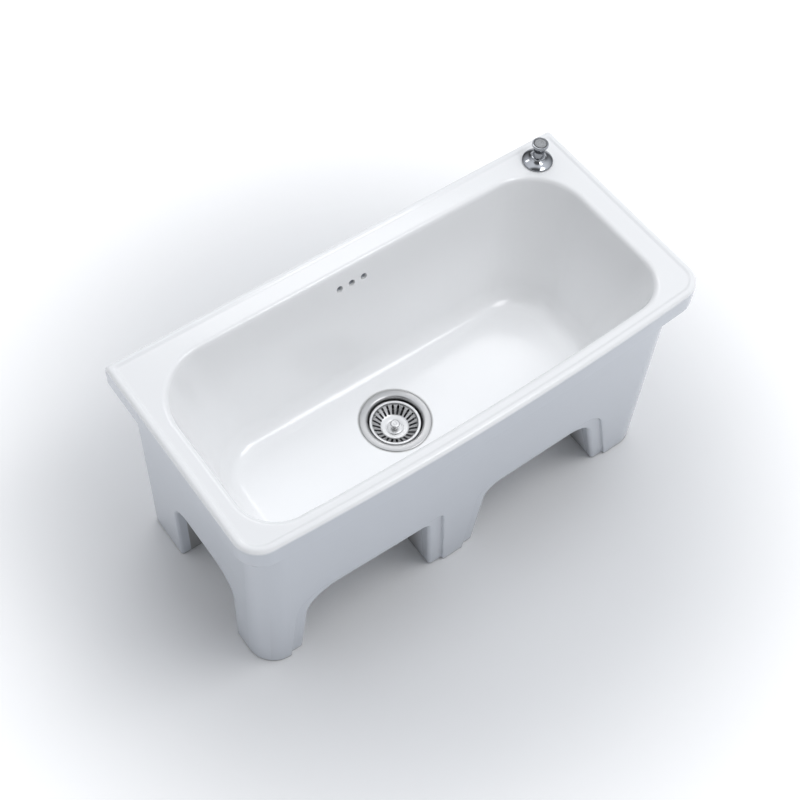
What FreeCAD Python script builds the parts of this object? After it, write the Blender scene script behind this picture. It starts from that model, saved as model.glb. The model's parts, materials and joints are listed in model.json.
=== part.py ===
import FreeCAD, Part
import math
import os
import re

import Sketcher

Vector = FreeCAD.Vector
NEAR = 0.01  # distance in millimetres under which two places count as one

# Driving dimensions in millimetres, counts, and the dome's, sweep's and flare's shares of a step in radius
# or height. +X is to the right, +Y to the back, +Z up from the floor.
SIZES = {
    # Rim and deck
    "rim_length": 810,
    "rim_depth": 371,
    "front_bow": 14,
    "rim_height": 405,
    "fascia_height": 42,
    "rim_front_radius": 40,
    "rim_back_radius": 5,
    "rim_edge_radius": 7,
    "fascia_bevel": 4,
    "lip_width": 9,
    "lip_slope": 4,
    "lip_height": 2,
    "lip_radius": 3,
    "deck_left": 34,
    "deck_right": 48,
    "deck_front": 26,
    "deck_back": 46,
    "deck_roll": 9,
    # Basin
    "basin_depth": 215,
    "basin_back_radius": 92,
    "basin_front_radius": 64,
    "left_slope": 53,
    "right_slope": 55,
    "front_slope": 54,
    "back_slope": 54,
    "floor_back_radius": 84,
    "floor_front_radius": 60,
    "floor_fillet": 38,
    "floor_thickness": 15,
    # Apron, side walls and feet
    "casting_wall": 13,
    "overhang_left": 16,
    "overhang_right": 52,
    "overhang_back": 36,
    "right_spread": 24,
    "apron_setback": 0.2,
    "foot_setback": 18,
    "foot_bow": 4,
    "apron_front_radius": 46,
    "apron_back_radius": 10,
    "apron_knob_radius": 90,
    "web_height": 73,
    "leg_rise": 25,
    "left_leg_width": 73,
    "right_leg_width": 104,
    "front_leg_depth": 86,
    "back_leg_depth": 85,
    "middle_leg_width": 88,
    "middle_leg_place": -30,
    "arch_height": 168,
    "left_arch_radius": 55,
    "left_flare": 11,
    "middle_left_radius": 16,
    "middle_left_flare": 20,
    "middle_right_radius": 28,
    "middle_right_flare": 6,
    "right_arch_radius": 60,
    "right_flare": 50,
    "side_arch_height": 171,
    "side_arch_radius": 45,
    "band_width": 24,
    "band_depth": 5,
    "arch_edge_radius": 6,
    "band_edge_radius": 2.4,
    "leg_corner_radius": 12,
    # Overflow
    "overflow_place": -18,
    "overflow_pitch": 22,
    "overflow_drop": 34,
    "overflow_hole_radius": 5.5,
    "overflow_holes": 3,
    "chamber_width": 64,
    "chamber_depth": 32,
    "chamber_wall": 8,
    "chamber_drop": 71,
    "chamber_front": 12,
    "tail_radius": 8,
    "tail_wall": 2,
    "tail_length": 34,
    "tail_collar_radius": 12,
    "tail_collar_height": 4,
    "barb_height": 1,
    "grommet_wall": 2.5,
    # Waste in the basin floor
    "drain_place": -34,
    "drain_depth_place": -8,
    "seat_depth": 2.5,
    "seat_clearance": 2,
    "drain_clearance": 1.5,
    "flange_radius": 57,
    "flange_thickness": 1.8,
    "flange_seal_thickness": 1.5,
    "bowl_radius": 43.3,
    "bowl_wall": 1.2,
    "bowl_depth": 34,
    "bowl_hole_ring": 23.5,
    "bowl_hole_radius": 7,
    "bowl_holes": 6,
    "gasket_thickness": 3,
    "gasket_width": 9,
    "body_wall": 3.5,
    "body_flange_height": 4,
    "body_ledge": 5,
    "chamber_height": 28,
    "outlet_cone_height": 14,
    "outlet_radius": 23.9,
    "outlet_wall": 3.9,
    "outlet_length": 24,
    "boss_wall": 4,
    "rib_thickness": 4,
    "rib_count": 3,
    "screw_radius": 7,
    "screw_head_radius": 10.5,
    "screw_head_height": 2.5,
    "screw_length": 27,
    "screw_clearance": 0.2,
    "pin_radius": 3,
    "pin_clearance": 0.05,
    "pin_length": 34,
    "guide_radius": 5,
    "guide_bore": 2.6,
    "guide_length": 58,
    "gland_radius": 8,
    "gland_length": 12,
    "nipple_radius": 4.6,
    "nipple_length": 9,
    # Basket
    "basket_radius": 40,
    "basket_lip": 3.4,
    "basket_drop": 5.6,
    "basket_sheet": 1.2,
    "basket_cup_radius": 22.5,
    "basket_cup_drop": 19.5,
    "basket_shoulder": 4.2,
    "slot_width": 3.6,
    "slot_count": 24,
    "slot_margin": 1.6,
    "knob_head_radius": 7.4,
    "knob_neck_radius": 3.4,
    "knob_height": 11,
    "plug_radius": 38,
    "plug_thickness": 2.5,
    "plug_hub_radius": 14,
    "plug_clearance": 0.4,
    "seal_width": 6,
    "seal_thickness": 2.5,
    "seat_gap": 0.2,
    # Pull knob on the deck
    "control_side_inset": 57,
    "control_back_inset": 40.5,
    "rosette_radius": 24.5,
    "rosette_edge": 2,
    "rosette_height": 8,
    "dome_place": 0.6,
    "dome_rise": 0.7,
    "rosette_seal_thickness": 1,
    "collar_radius": 10.5,
    "collar_height": 3,
    "shank_radius": 10,
    "shank_clearance": 2,
    "shank_length": 72,
    "shank_socket": 4,
    "washer_radius": 17,
    "washer_thickness": 2,
    "nut_flats": 30,
    "nut_height": 10,
    "spindle_radius": 4,
    "spindle_clearance": 0.05,
    "spindle_length": 78,
    "spindle_depth": 18,
    "pull_gap": 0.4,
    "pull_base_radius": 9,
    "pull_waist_radius": 7.4,
    "pull_top_radius": 13,
    "pull_height": 27,
    "pull_waist_height": 9,
    "pull_brim": 4,
    "pull_sweep": 0.4,
    "pull_flare": 0.25,
    "cap_margin": 2.2,
    "cap_depth": 1,
}

doc = FreeCAD.newDocument("mop_sink")
sheet = doc.addObject("Spreadsheet::Sheet", "Sheet")
for row, (alias, amount) in enumerate(SIZES.items(), start=1):
    sheet.set(f"A{row}", alias)
    sheet.set(f"B{row}", str(amount))
    sheet.setAlias(f"B{row}", alias)
doc.recompute()


def formula(text):
    """Write an expression of the sheet's aliases in the form that the document reads."""
    return re.sub(r"[a-z_]+", lambda word: "Sheet." + word[0] if word[0] in SIZES else word[0], text)


def number(text):
    """Work out the present value of an expression of the sheet's aliases."""
    return float(sheet.evalExpression(formula(text)))


def bind(thing, **expressions):
    """Tie properties to the sheet. A double underscore stands for the dot in a property's path."""
    for path, text in expressions.items():
        thing.setExpression(path.replace("__", "."), formula(text))


def place(thing, across="0", along="0", height="0"):
    """Tie a sub-part's place to the sheet."""
    bind(thing, Placement__Base__x=across, Placement__Base__y=along, Placement__Base__z=height)


# Levels and edges that several pieces share
RIM_LEFT = "(-rim_length / 2)"
RIM_RIGHT = "(rim_length / 2)"
RIM_BACK = "((rim_depth + front_bow) / 2)"
RIM_FRONT = "(-(rim_depth + front_bow) / 2)"
RIM_ARC = "((rim_length ^ 2 / 4 + front_bow ^ 2) / (2 * front_bow))"
FOOT_ARC = "((rim_length ^ 2 / 4 + foot_bow ^ 2) / (2 * foot_bow))"
RIM_UNDER = "(rim_height - fascia_height)"
DECK = "(rim_height - lip_height)"
APRON_TOP = "(rim_height - fascia_height / 2)"
FLOOR = "(rim_height - basin_depth)"
HOLLOW_TOP = f"({RIM_UNDER} - web_height)"
LEG_TOP = f"({FLOOR} + leg_rise)"
CONTROL_ACROSS = f"({RIM_RIGHT} - control_side_inset)"
CONTROL_ALONG = f"({RIM_BACK} - control_back_inset)"
WALL_LEFT = f"({RIM_LEFT} + overhang_left)"
WALL_RIGHT = f"({RIM_RIGHT} - overhang_right)"
FOOT_RIGHT = f"({WALL_RIGHT} + right_spread)"
WALL_BACK = f"({RIM_BACK} - overhang_back)"
BASIN_LEFT = f"({RIM_LEFT} + deck_left)"
BASIN_RIGHT = f"({RIM_RIGHT} - deck_right)"
BASIN_FRONT = f"({RIM_FRONT} + deck_front)"
BASIN_BACK = f"({RIM_BACK} - deck_back)"


class Sketch:
    """A sketch drawn from expressions of the sheet's aliases."""

    def __init__(self, sketch):
        self.sketch = sketch

    def constrain(self, kind, *references, value=None):
        if value is None:
            self.sketch.addConstraint(Sketcher.Constraint(kind, *references))
            return
        index = self.sketch.addConstraint(Sketcher.Constraint(kind, *references, number(value)))
        self.sketch.setExpression(f"Constraints[{index}]", formula(value))

    def pin(self, piece, point, across, along):
        """Fix a point of one piece of geometry at its distances from the origin."""
        for kind, axis, value in (("DistanceX", -2, across), ("DistanceY", -1, along)):
            if value == "0":
                self.constrain("PointOnObject", piece, point, axis)
            else:
                self.constrain(kind, -1, 1, piece, point, value=value)

    def polygon(self, corners):
        """Closed outline. A corner with a third item is joined to the next by an arc through that point."""
        spots = [Vector(number(corner[0]), number(corner[1]), 0) for corner in corners]
        count = len(corners)
        for index, corner in enumerate(corners):
            start, end = spots[index], spots[(index + 1) % count]
            if len(corner) == 3:
                middle = Vector(number(corner[2][0]), number(corner[2][1]), 0)
                self.sketch.addGeometry(Part.Arc(start, middle, end), False)
            else:
                self.sketch.addGeometry(Part.LineSegment(start, end), False)
        ends = [self.ends(index, spots[index]) for index in range(count)]
        for index, corner in enumerate(corners):
            following = (index + 1) % count
            self.constrain("Coincident", index, ends[index][1], following, ends[following][0])
            self.pin(index, ends[index][0], corner[0], corner[1])
        for index, corner in enumerate(corners):
            if len(corner) == 3:
                middle = Vector(number(corner[2][0]), number(corner[2][1]), 0)
                point = self.sketch.addGeometry(Part.Point(middle), True)
                self.constrain("PointOnObject", point, 1, index)
                self.pin(point, 1, *corner[2])

    def ends(self, index, start):
        """Which end of a piece of geometry is its start: an arc always runs counter-clockwise."""
        first = self.sketch.getPoint(index, 1)
        return (1, 2) if first.distanceToPoint(start) < 1e-6 else (2, 1)

    def circle(self, across, along, radius):
        centre = Vector(number(across), number(along), 0)
        index = self.sketch.addGeometry(Part.Circle(centre, Vector(0, 0, 1), number(radius)), False)
        self.pin(index, 3, across, along)
        self.constrain("Radius", index, value=radius)

    def rounded(self, left, right, front, back, front_radius, back_radius, arc=None, knob_radius=None):
        """Four sides with round corners. An arc radius bows the front side out about x = 0, and a knob radius
        rounds the back corner at the right by itself."""
        knob_radius = knob_radius or back_radius
        west, east, south, north = number(left), number(right), number(front), number(back)
        near, far, knob = number(front_radius), number(back_radius), number(knob_radius)
        quarter = FreeCAD.Units.Quantity("90 deg").getValueAs("rad").Value

        def corner(across, along, radius, turn):
            circle = Part.Circle(Vector(across, along, 0), Vector(0, 0, 1), radius)
            bend = Part.ArcOfCircle(circle, turn * quarter, (turn + 1) * quarter)
            return self.sketch.addGeometry(bend, False)

        def side(start, end):
            return self.sketch.addGeometry(Part.LineSegment(Vector(*start, 0), Vector(*end, 0)), False)

        left_side = side((west, north - far), (west, south + near))
        front_left = corner(west + near, south + near, near, 2)
        if arc is None:
            front_side = side((west + near, south), (east - near, south))
        else:
            sag = (east - west) ** 2 / (8 * number(arc))
            ends = (Vector(west + near, south + sag, 0), Vector(east - near, south + sag, 0))
            front_side = self.sketch.addGeometry(Part.Arc(ends[0], Vector(0, south, 0), ends[1]), False)
        front_right = corner(east - near, south + near, near, 3)
        right_side = side((east, south + near), (east, north - knob))
        back_right = corner(east - knob, north - knob, knob, 0)
        back_side = side((east - knob, north), (west + far, north))
        back_left = corner(west + far, north - far, far, 1)
        loop = (left_side, front_left, front_side, front_right, right_side, back_right, back_side, back_left)
        for first, second in zip(loop, loop[1:] + loop[:1]):
            self.constrain("Tangent", first, 2, second, 1)
        self.constrain("Vertical", left_side)
        self.constrain("Vertical", right_side)
        self.constrain("Horizontal", back_side)
        self.constrain("DistanceX", -1, 1, left_side, 1, value=left)
        self.constrain("DistanceX", -1, 1, right_side, 1, value=right)
        self.constrain("DistanceY", -1, 1, back_side, 1, value=back)
        for piece, radius in ((front_left, front_radius), (front_right, front_radius),
                              (back_right, knob_radius), (back_left, back_radius)):
            self.constrain("Radius", piece, value=radius)
        if arc is None:
            self.constrain("Horizontal", front_side)
            self.constrain("DistanceY", -1, 1, front_side, 1, value=front)
        else:
            self.constrain("PointOnObject", front_side, 3, -2)
            self.constrain("DistanceY", -1, 1, front_side, 3, value=f"{front} + {arc}")
            self.constrain("Radius", front_side, value=arc)

    def arch(self, left, right, top, radii, flares, below):
        """An opening that stands on the floor. Each side leans in by its flare, up to its round corner."""
        west, east, high, low = number(left), number(right), number(top), -number(below)
        bends = [number(radius) for radius in radii]
        leans = [math.atan2(number(flare), high) for flare in flares]
        steps = [f"{flare} * {below} / ({top})" for flare in flares]
        reaches = [bend * math.tan((math.pi / 2 - lean) / 2) for bend, lean in zip(bends, leans)]
        corners = (Vector(west + number(flares[0]), high, 0), Vector(east - number(flares[1]), high, 0))
        feet = (Vector(west - number(steps[0]), low, 0), Vector(east + number(steps[1]), low, 0))
        ends = [corner + (base - corner).normalize() * reach
                for corner, base, reach in zip(corners, feet, reaches)]
        crowns = (corners[0] + Vector(reaches[0], 0, 0), corners[1] - Vector(reaches[1], 0, 0))

        def side(start, end):
            return self.sketch.addGeometry(Part.LineSegment(start, end), False)

        def corner(crown, bend, start, end):
            circle = Part.Circle(crown - Vector(0, bend, 0), Vector(0, 0, 1), bend)
            return self.sketch.addGeometry(Part.ArcOfCircle(circle, start, end), False)

        left_side = side(feet[0], ends[0])
        left_bend = corner(crowns[0], bends[0], math.pi / 2, math.pi - leans[0])
        crown = side(crowns[0], crowns[1])
        right_bend = corner(crowns[1], bends[1], leans[1], math.pi / 2)
        right_side = side(ends[1], feet[1])
        threshold = side(feet[1], feet[0])
        self.constrain("Tangent", left_side, 2, left_bend, 2)
        self.constrain("Tangent", left_bend, 1, crown, 1)
        self.constrain("Tangent", crown, 2, right_bend, 2)
        self.constrain("Tangent", right_bend, 1, right_side, 1)
        self.constrain("Coincident", right_side, 2, threshold, 1)
        self.constrain("Coincident", threshold, 2, left_side, 1)
        self.constrain("Horizontal", crown)
        self.constrain("DistanceY", -1, 1, crown, 1, value=top)
        self.pin(left_side, 1, f"{left} - {steps[0]}", f"-{below}")
        self.pin(right_side, 2, f"{right} + {steps[1]}", f"-{below}")
        for bent, radius in zip((left_bend, right_bend), radii):
            self.constrain("Radius", bent, value=radius)
        for leaning, spot, across in ((left_side, corners[0], f"{left} + {flares[0]}"),
                                      (right_side, corners[1], f"{right} - {flares[1]}")):
            point = self.sketch.addGeometry(Part.Point(spot), True)
            self.constrain("PointOnObject", point, 1, leaning)
            self.pin(point, 1, across, top)


def plan(name, height, *outline, **options):
    """A rounded outline seen from above, at a height above the floor."""
    sketch = doc.addObject("Sketcher::SketchObject", name)
    Sketch(sketch).rounded(*outline, **options)
    bind(sketch, Placement__Base__z=height)
    return sketch


def loft(name, *sections):
    solid = doc.addObject("Part::Loft", name)
    solid.Sections = sections
    solid.Solid = True
    solid.Ruled = True
    return solid


def extrusion(name, sketch, direction, length):
    solid = doc.addObject("Part::Extrusion", name)
    solid.Base = sketch
    solid.DirMode = "Custom"
    solid.Dir = direction
    solid.Solid = True
    bind(solid, LengthFwd=length)
    return solid


def fuse(name, *shapes):
    solid = doc.addObject("Part::MultiFuse", name)
    solid.Shapes = shapes
    return solid


def common(name, *shapes):
    solid = doc.addObject("Part::MultiCommon", name)
    solid.Shapes = shapes
    return solid


def cut(name, base, tool):
    solid = doc.addObject("Part::Cut", name)
    solid.Base = base
    solid.Tool = tool
    return solid


def box(name, west, east, south, north, bottom, top):
    solid = doc.addObject("Part::Box", name)
    bind(solid, Length=f"({east}) - ({west})", Width=f"({north}) - ({south})", Height=f"({top}) - ({bottom})")
    place(solid, west, south, bottom)
    return solid


def cylinder(name, radius, length, across, along, height, axis=None):
    solid = doc.addObject("Part::Cylinder", name)
    bind(solid, Radius=radius, Height=length)
    if axis is not None:
        solid.Placement.Rotation = FreeCAD.Rotation(Vector(0, 0, 1), axis)
    place(solid, across, along, height)
    return solid


def fillet(name, base, *roundings):
    """Round the base's edges. Each rounding is a radius and a test that chooses its edges."""
    doc.recompute()
    solid = doc.addObject("Part::Fillet", name)
    solid.Base = base
    chosen = []
    for radius, test in roundings:
        amount = number(radius)
        edges = enumerate(base.Shape.Edges, start=1)
        chosen += [(index, amount, amount) for index, edge in edges if edge.Length > NEAR and test(edge)]
    solid.Edges = chosen
    return solid


def middle(edge):
    """The point halfway along an edge, and the direction from a quarter to three quarters of its length."""
    start, end = edge.FirstParameter, edge.LastParameter
    quarter, half, last = (edge.valueAt(start + share * (end - start)) for share in (0.25, 0.5, 0.75))
    return half, (last - quarter).normalize()


def follows(edge, outline):
    """True for an edge that runs along an upright outline, seen square to that outline."""
    spot, direction = middle(edge)
    spot = outline.Placement.inverse().multVec(spot)
    direction = outline.Placement.Rotation.inverted().multVec(direction)
    seen = Part.Vertex(outline.Placement.multVec(Vector(spot.x, spot.y, 0)))
    return abs(direction.z) < 0.5 and outline.Shape.distToShape(seen)[0] < NEAR


def level(edge, height):
    """True for an edge that lies at one height."""
    bounds = edge.BoundBox
    return abs(bounds.ZMin - height) < NEAR and abs(bounds.ZMax - height) < NEAR


# Ceramic casting: the rim slab, the hollow apron with its feet, and the basin

def upright(name, across, along, rotation, *outline):
    """The outline of an opening that is cut sideways through the apron."""
    sketch = doc.addObject("Sketcher::SketchObject", name)
    Sketch(sketch).arch(*outline, "casting_wall")
    sketch.Placement.Rotation = rotation
    place(sketch, across, along)
    return sketch


def apron_solid(name, setback):
    """The apron's outer form, drawn in by a setback all round. It leans back towards the feet at the front,
    and spreads towards them at the right."""
    def outline(level_name, height, right, front, arc):
        return plan(f"{name}_{level_name}", height, f"{WALL_LEFT} + {setback}", f"{right} - {setback}",
                    f"{RIM_FRONT} + {front} + {setback}", f"{WALL_BACK} - {setback}",
                    f"apron_front_radius - {setback}", f"apron_back_radius - {setback}", arc=arc,
                    knob_radius=f"apron_knob_radius - {setback}")

    low = outline("foot", "0", FOOT_RIGHT, "foot_setback", FOOT_ARC)
    under = outline("under", RIM_UNDER, WALL_RIGHT, "apron_setback", RIM_ARC)
    high = outline("top", APRON_TOP, WALL_RIGHT, "apron_setback", RIM_ARC)
    return loft(name, low, under, high)


def basin_solid(name, wall, bottom, top):
    """The basin's form from its floor up to the deck, made larger by a wall all round."""
    low = plan(name + "_floor", bottom, f"{BASIN_LEFT} + left_slope - {wall}",
               f"{BASIN_RIGHT} - right_slope + {wall}", f"{BASIN_FRONT} + front_slope - {wall}",
               f"{BASIN_BACK} - back_slope + {wall}", f"floor_front_radius + {wall}",
               f"floor_back_radius + {wall}", arc=RIM_ARC)
    high = plan(name + "_deck", top, f"{BASIN_LEFT} - {wall}", f"{BASIN_RIGHT} + {wall}",
                f"{BASIN_FRONT} - {wall}", f"{BASIN_BACK} + {wall}", f"basin_front_radius + {wall}",
                f"basin_back_radius + {wall}", arc=RIM_ARC)
    solid = loft(name, low, high)
    return fillet(name + "_round", solid, ("floor_fillet", lambda edge: level(edge, number(bottom))))


LEG_SPANS = {
    "left": (WALL_LEFT, f"({WALL_LEFT} + left_leg_width)"),
    "middle": ("(middle_leg_place - middle_leg_width / 2)", "(middle_leg_place + middle_leg_width / 2)"),
    "right": (f"({FOOT_RIGHT} - right_leg_width)", FOOT_RIGHT),
}
LEG_FLARES = {
    "left": ("0", "left_flare"),
    "middle": ("middle_left_flare", "middle_right_flare"),
    "right": ("right_flare", "0"),
}
FRONT_LEG_BACK = f"({RIM_FRONT} + foot_setback + front_leg_depth)"
BACK_LEG_FRONT = f"({WALL_BACK} - back_leg_depth)"


def legs(outer, hollow):
    """Five hollow feet, each closed by its own inner walls, cut to the apron's outline."""
    past = "2 * leg_corner_radius"
    radii = ("leg_corner_radius", "leg_corner_radius")
    feet = []
    for end, (west, east) in LEG_SPANS.items():
        rows = {"front": (f"{RIM_FRONT} - {past}", FRONT_LEG_BACK),
                "back": (BACK_LEG_FRONT, f"{WALL_BACK} + {past}")}
        if end == "middle":
            rows.pop("back")
        lean_west, lean_east = (f"{flare} * {LEG_TOP} / arch_height" for flare in LEG_FLARES[end])
        for row, (near, far) in rows.items():
            name = f"{row}_{end}_leg"
            low_west = f"{west} - {past}" if end == "left" else west
            low_east = f"{east} + {past}" if end == "right" else east
            low = plan(name + "_foot", "0", low_west, low_east, near, far, *radii)
            high = plan(name + "_head", LEG_TOP, f"{low_west} - {lean_west}", f"{low_east} + {lean_east}",
                        near, far, *radii)
            inner_depth = (f"{near} + casting_wall", f"{far} - casting_wall")
            core_low = plan(name + "_core_foot", "-casting_wall", f"{west} + casting_wall",
                            f"{east} - casting_wall", *inner_depth, *radii)
            core_high = plan(name + "_core_head", f"{LEG_TOP} - casting_wall",
                             f"{west} - {lean_west} + casting_wall", f"{east} + {lean_east} - casting_wall",
                             *inner_depth, *radii)
            whole = common(name + "_whole", loft(name + "_block", low, high), outer)
            inside = common(name + "_inside", loft(name + "_core", core_low, core_high), hollow)
            feet.append(cut(name, whole, inside))
    return feet


def front_openings(depth, spread, name):
    """Openings between the front feet, widened by a spread: the solids and their upright outlines."""
    gaps = (("left", LEG_SPANS["left"][1], LEG_SPANS["middle"][0],
             ("left_arch_radius", "middle_left_radius"), ("left_flare", "middle_left_flare")),
            ("right", LEG_SPANS["middle"][1], LEG_SPANS["right"][0],
             ("middle_right_radius", "right_arch_radius"), ("middle_right_flare", "right_flare")))
    top = f"arch_height + {spread}"
    facing = FreeCAD.Rotation(Vector(1, 0, 0), 90)
    solids = []
    outlines = []
    for end, west, east, radii, flares in gaps:
        leans = [f"({flare} * ({top}) / arch_height)" for flare in flares]
        outline = upright(f"{name}_{end}_outline", "0", f"{RIM_FRONT} - casting_wall", facing,
                          f"{west} - {spread}", f"{east} + {spread}", top, radii, leans)
        outlines.append(outline)
        solids.append(extrusion(f"{name}_{end}", outline, Vector(0, 1, 0), depth))
    return solids, outlines


def side_openings():
    """One opening through both side walls, and one through the back wall, between the feet."""
    sideways = FreeCAD.Rotation(Vector(1, 1, 1), 120)
    side = upright("side_opening_outline", RIM_LEFT, "0", sideways, FRONT_LEG_BACK, BACK_LEG_FRONT,
                   "side_arch_height", ("side_arch_radius", "side_arch_radius"), ("0", "0"))
    facing = FreeCAD.Rotation(Vector(1, 0, 0), 90)
    back = upright("back_opening_outline", "0", f"{WALL_BACK} - 2 * casting_wall", facing,
                   LEG_SPANS["left"][1], LEG_SPANS["right"][0], "arch_height",
                   ("left_arch_radius", "right_arch_radius"), ("left_flare", "right_flare"))
    return side, extrusion("back_opening", back, Vector(0, 1, 0), "4 * casting_wall")


CHAMBER_WEST = "(overflow_place - chamber_width / 2)"
CHAMBER_EAST = "(overflow_place + chamber_width / 2)"
CHAMBER_FRONT = f"({BASIN_BACK} + chamber_front - chamber_wall)"
CHAMBER_BACK = f"({CHAMBER_FRONT} + chamber_depth)"
CHAMBER_FLOOR = "(rim_height - chamber_drop)"
TAIL_ALONG = f"({CHAMBER_BACK} - tail_collar_radius - barb_height)"


def rim_plan(name, height, inset, front_inset="0"):
    """The rim's outline drawn in by an inset at its ends and back, and by another at its front."""
    return plan(name, height, f"{RIM_LEFT} + {inset}", f"{RIM_RIGHT} - {inset}",
                f"{RIM_FRONT} + {front_inset}", f"{RIM_BACK} - {inset}", f"rim_front_radius - {inset}",
                "rim_back_radius", arc=RIM_ARC)


def sink_body():
    rim_outline = rim_plan("rim_outline", "rim_height", "0")
    slab = loft("slab", rim_plan("fascia_under", RIM_UNDER, "fascia_bevel"),
                rim_plan("fascia_edge", f"{RIM_UNDER} + fascia_bevel", "0"), rim_outline)
    sunk = "(lip_width + lip_slope)"
    rising = "(lip_width - lip_slope)"
    deck_outline = rim_plan("deck_outline", DECK, sunk, sunk)
    deck = loft("deck", deck_outline, rim_plan("lip_outline", "rim_height + lip_height", rising, rising))
    rim = cut("rim", slab, deck)
    outer = apron_solid("apron", "0")
    front = f"{RIM_FRONT} + foot_setback + casting_wall"
    hollow_right = f"{WALL_RIGHT} + right_spread * (1 - {HOLLOW_TOP} / {RIM_UNDER}) - casting_wall"

    def hollow_outline(level_name, height, right):
        return plan("hollow_" + level_name, height, f"{WALL_LEFT} + casting_wall", right, front,
                    f"{WALL_BACK} - casting_wall", "apron_front_radius - casting_wall", "leg_corner_radius",
                    arc=FOOT_ARC, knob_radius="apron_knob_radius - casting_wall")

    hollow = loft("hollow", hollow_outline("foot", "-casting_wall", f"{FOOT_RIGHT} - casting_wall"),
                  hollow_outline("top", HOLLOW_TOP, hollow_right))
    shell = fuse("apron_and_feet", cut("apron_shell", outer, hollow), *legs(outer, hollow))
    side, back = side_openings()
    through_depth = "front_leg_depth + casting_wall + foot_setback"
    arches, arch_outlines = front_openings(through_depth, "0", "arch")
    openings = fuse("openings", back, extrusion("side_opening", side, Vector(1, 0, 0), "rim_length"), *arches)
    bands, band_outlines = front_openings(through_depth, "band_width", "band")
    recess = cut("band_recess", fuse("bands", *bands), apron_solid("recessed_apron", "band_depth"))
    arched = cut("arched_apron", cut("open_apron", shell, openings), recess)

    def around_arch(edge):
        on_front = any(follows(edge, outline) for outline in arch_outlines) and in_front(edge)
        return on_front or follows(edge, side) and at_side(edge)

    def around_band(edge):
        return any(follows(edge, outline) for outline in band_outlines) and in_front(edge)

    apron = fillet("soft_apron", arched, ("arch_edge_radius", around_arch), ("band_edge_radius", around_band))
    bowl = basin_solid("bowl", "casting_wall", f"{FLOOR} - floor_thickness", APRON_TOP)
    casing = box("chamber_casing", f"{CHAMBER_WEST} - chamber_wall", f"{CHAMBER_EAST} + chamber_wall",
                 f"{CHAMBER_FRONT} - chamber_wall", f"{CHAMBER_BACK} + chamber_wall",
                 f"{CHAMBER_FLOOR} - chamber_wall", f"{RIM_UNDER} + casting_wall")
    solid = fuse("casting_solid", rim, apron, bowl, casing)
    basin = basin_solid("basin", "0", FLOOR, "rim_height")
    cutters = [basin]
    cutters.append(box("chamber", CHAMBER_WEST, CHAMBER_EAST, CHAMBER_FRONT, CHAMBER_BACK, CHAMBER_FLOOR,
                       "rim_height - overflow_drop + 2 * overflow_hole_radius"))
    cutters.append(cylinder("tail_hole", "tail_radius + grommet_wall", "2 * chamber_wall", "overflow_place",
                            TAIL_ALONG, f"{CHAMBER_FLOOR} - 1.5 * chamber_wall"))
    for index in range(SIZES["overflow_holes"]):
        shift = f"overflow_place + ({index} - (overflow_holes - 1) / 2) * overflow_pitch"
        cutters.append(cylinder(f"overflow_hole_{index + 1}", "overflow_hole_radius",
                                "chamber_depth / 2 + chamber_front + chamber_wall", shift,
                                f"{CHAMBER_FRONT} - chamber_front - chamber_wall",
                                "rim_height - overflow_drop", Vector(0, 1, 0)))
    drain = ("drain_place", "drain_depth_place")
    cutters.append(cylinder("drain_hole", "bowl_radius + bowl_wall + drain_clearance", "2 * floor_thickness",
                            *drain, f"{FLOOR} - 1.5 * floor_thickness"))
    cutters.append(cylinder("drain_seat", "flange_radius + seat_clearance", "2 * seat_depth", *drain,
                            f"{FLOOR} - seat_depth"))
    cutters.append(cylinder("control_hole", "shank_radius + shank_clearance", "2 * fascia_height",
                            CONTROL_ACROSS, CONTROL_ALONG, f"{RIM_UNDER} - fascia_height / 2"))
    cast = cut("cast_body", solid, fuse("cutters", *cutters))
    crest = number("rim_height")
    level_deck = number(DECK)
    lip = fillet("lip", cast,
                 ("rim_edge_radius", lambda edge: level(edge, crest) and over(edge, rim_outline)),
                 ("lip_radius", lambda edge: level(edge, crest) and not over(edge, rim_outline)),
                 ("lip_radius", lambda edge: level(edge, level_deck) and over(edge, deck_outline)))
    body = fillet("sink_body", lip, ("deck_roll", around_basin))
    body.Label = "sink_body"


def in_front(edge):
    """True for an edge on the outer half of the apron's front wall."""
    spot, _ = middle(edge)
    return spot.y < number(f"{RIM_FRONT} + foot_setback + casting_wall - foot_bow / 2")


def at_side(edge):
    """True for an edge on the outer half of one of the apron's side walls."""
    spot, _ = middle(edge)
    return not number(f"{WALL_LEFT} + casting_wall / 2") < spot.x < number(f"{WALL_RIGHT} + right_spread / 2")


def over(edge, outline):
    """True for an edge that runs straight above or below a level outline."""
    spot, _ = middle(edge)
    seen = Part.Vertex(Vector(spot.x, spot.y, outline.Placement.Base.z))
    return outline.Shape.distToShape(seen)[0] < NEAR


def around_basin(edge):
    """True for an edge of the deck's opening, and not for one of the hole for the knob."""
    spot, _ = middle(edge)
    hole = Vector(number(CONTROL_ACROSS), number(CONTROL_ALONG), number(DECK))
    from_hole = edge.BoundBox.Center.distanceToPoint(hole)
    between = number(BASIN_LEFT) < spot.x < number(BASIN_RIGHT)
    within = between and number(BASIN_FRONT) < spot.y < number(BASIN_BACK)
    return level(edge, hole.z) and within and from_hole > number("shank_radius")


# Turned and moulded pieces

def plane(body, role):
    return next(feature for feature in body.Origin.OriginFeatures if feature.Role == role)


def attached(body, name, role):
    sketch = body.newObject("Sketcher::SketchObject", name)
    sketch.AttachmentSupport = [(plane(body, role), "")]
    sketch.MapMode = "FlatFace"
    return sketch


def revolve(body, name, corners):
    """Turn a closed outline of (radius, height) corners about the body's own Z axis."""
    sketch = attached(body, name + "_outline", "XZ_Plane")
    Sketch(sketch).polygon(corners)
    turned = body.newObject("PartDesign::Revolution", name + "_turned")
    turned.Profile = sketch
    turned.ReferenceAxis = (sketch, ["V_Axis"])
    turned.Angle = 360
    return turned


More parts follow.
